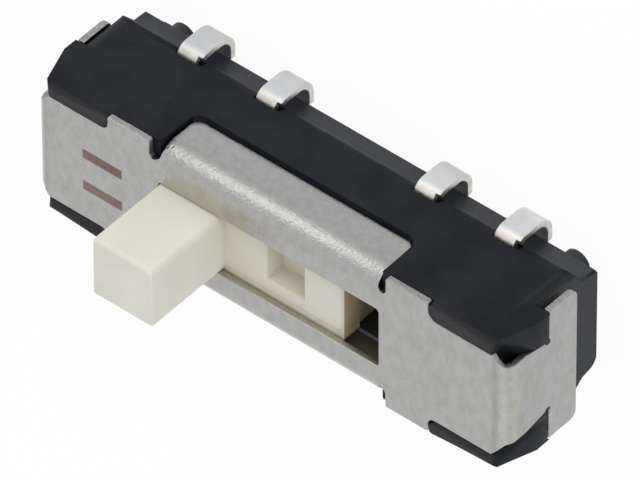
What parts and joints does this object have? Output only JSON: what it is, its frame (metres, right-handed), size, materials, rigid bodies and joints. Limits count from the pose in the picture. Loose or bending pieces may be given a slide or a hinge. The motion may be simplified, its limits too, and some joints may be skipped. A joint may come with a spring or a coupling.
{
  "type": "slide switch",
  "caption": "Surface-mount slide switch: black housing, folded metal cover with a slot, ivory knob that slides between detent positions, J-bent leads along both long sides.",
  "frame": {"origin": "centre of the footprint on the board, which is the plane of the leads' tails and the feet", "axes": "+X along the slider's travel, from the stored position towards the others; +Y across the body towards the long side that the picture shows; +Z away from the board, along the knob"},
  "size_m": [0.012, 0.0038, 0.0054],
  "materials": {
    "housing": "black moulded thermoplastic, fine satin grain",
    "cover": "plated sheet steel, satin, brighter on the bends and cut edges",
    "slider": "ivory moulded thermoplastic, satin",
    "lead": "bright tin plate",
    "brush": "plated copper alloy, inside the switch",
    "spring": "bare spring strip, inside the switch"
  },
  "bodies": {
    "base": {"housing": "housing", "cover": "cover", "throw_lead_a1": "lead", "throw_lead_a2": "lead", "throw_lead_a3": "lead", "throw_lead_b1": "lead", "throw_lead_b2": "lead", "throw_lead_b3": "lead", "common_lead_a": "lead", "common_lead_b": "lead"},
    "slide": {"slider": "slider", "brush_a": "brush", "brush_b": "brush", "detent_spring": "spring"}
  },
  "joints": [
    {"name": "slide_travel", "type": "slide", "parent": "base", "child": "slide", "axis": [1, 0, 0], "range_m": [0, 0.004], "deforming": ["detent_spring"]}
  ]
}
